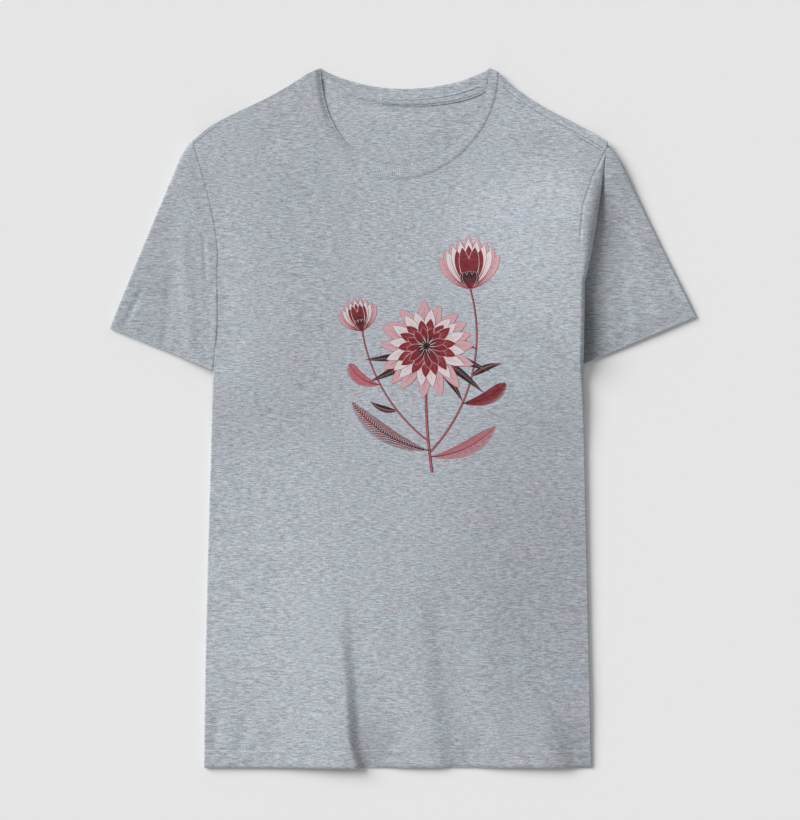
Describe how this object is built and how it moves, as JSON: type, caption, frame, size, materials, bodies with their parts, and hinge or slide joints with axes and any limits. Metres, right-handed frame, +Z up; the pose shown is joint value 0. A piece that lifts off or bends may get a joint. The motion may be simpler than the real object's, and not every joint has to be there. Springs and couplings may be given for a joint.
{
  "type": "t-shirt",
  "caption": "Short-sleeved crew-neck T-shirt in jersey, laid flat front up with its sides turned under, ribbed collar and turned hems.",
  "frame": {"origin": "on the ground under the middle of the shirt's outline, laid flat", "axes": "+Y from the hem towards the neck, +Z up through the shirt to its front, +X towards the wearer's left sleeve"},
  "size_m": [0.605, 0.72, 0.013],
  "materials": {
    "body_jersey": "heather grey single jersey, matt",
    "sleeve_jersey": "heather grey single jersey, matt",
    "hem_jersey": "heather grey single jersey, doubled and stitched, matt",
    "collar_rib": "heather grey rib knit, matt",
    "tape_jersey": "heather grey jersey tape, matt"
  },
  "bodies": {
    "root": {"front_panel": "body_jersey", "front_hem": "hem_jersey", "back_panel": "body_jersey", "back_hem": "hem_jersey", "sleeve_left": "sleeve_jersey", "sleeve_right": "sleeve_jersey", "sleeve_hem_left": "hem_jersey", "sleeve_hem_right": "hem_jersey", "collar_front": "collar_rib", "collar_back": "collar_rib", "neck_tape": "tape_jersey"}
  },
  "joints": []
}
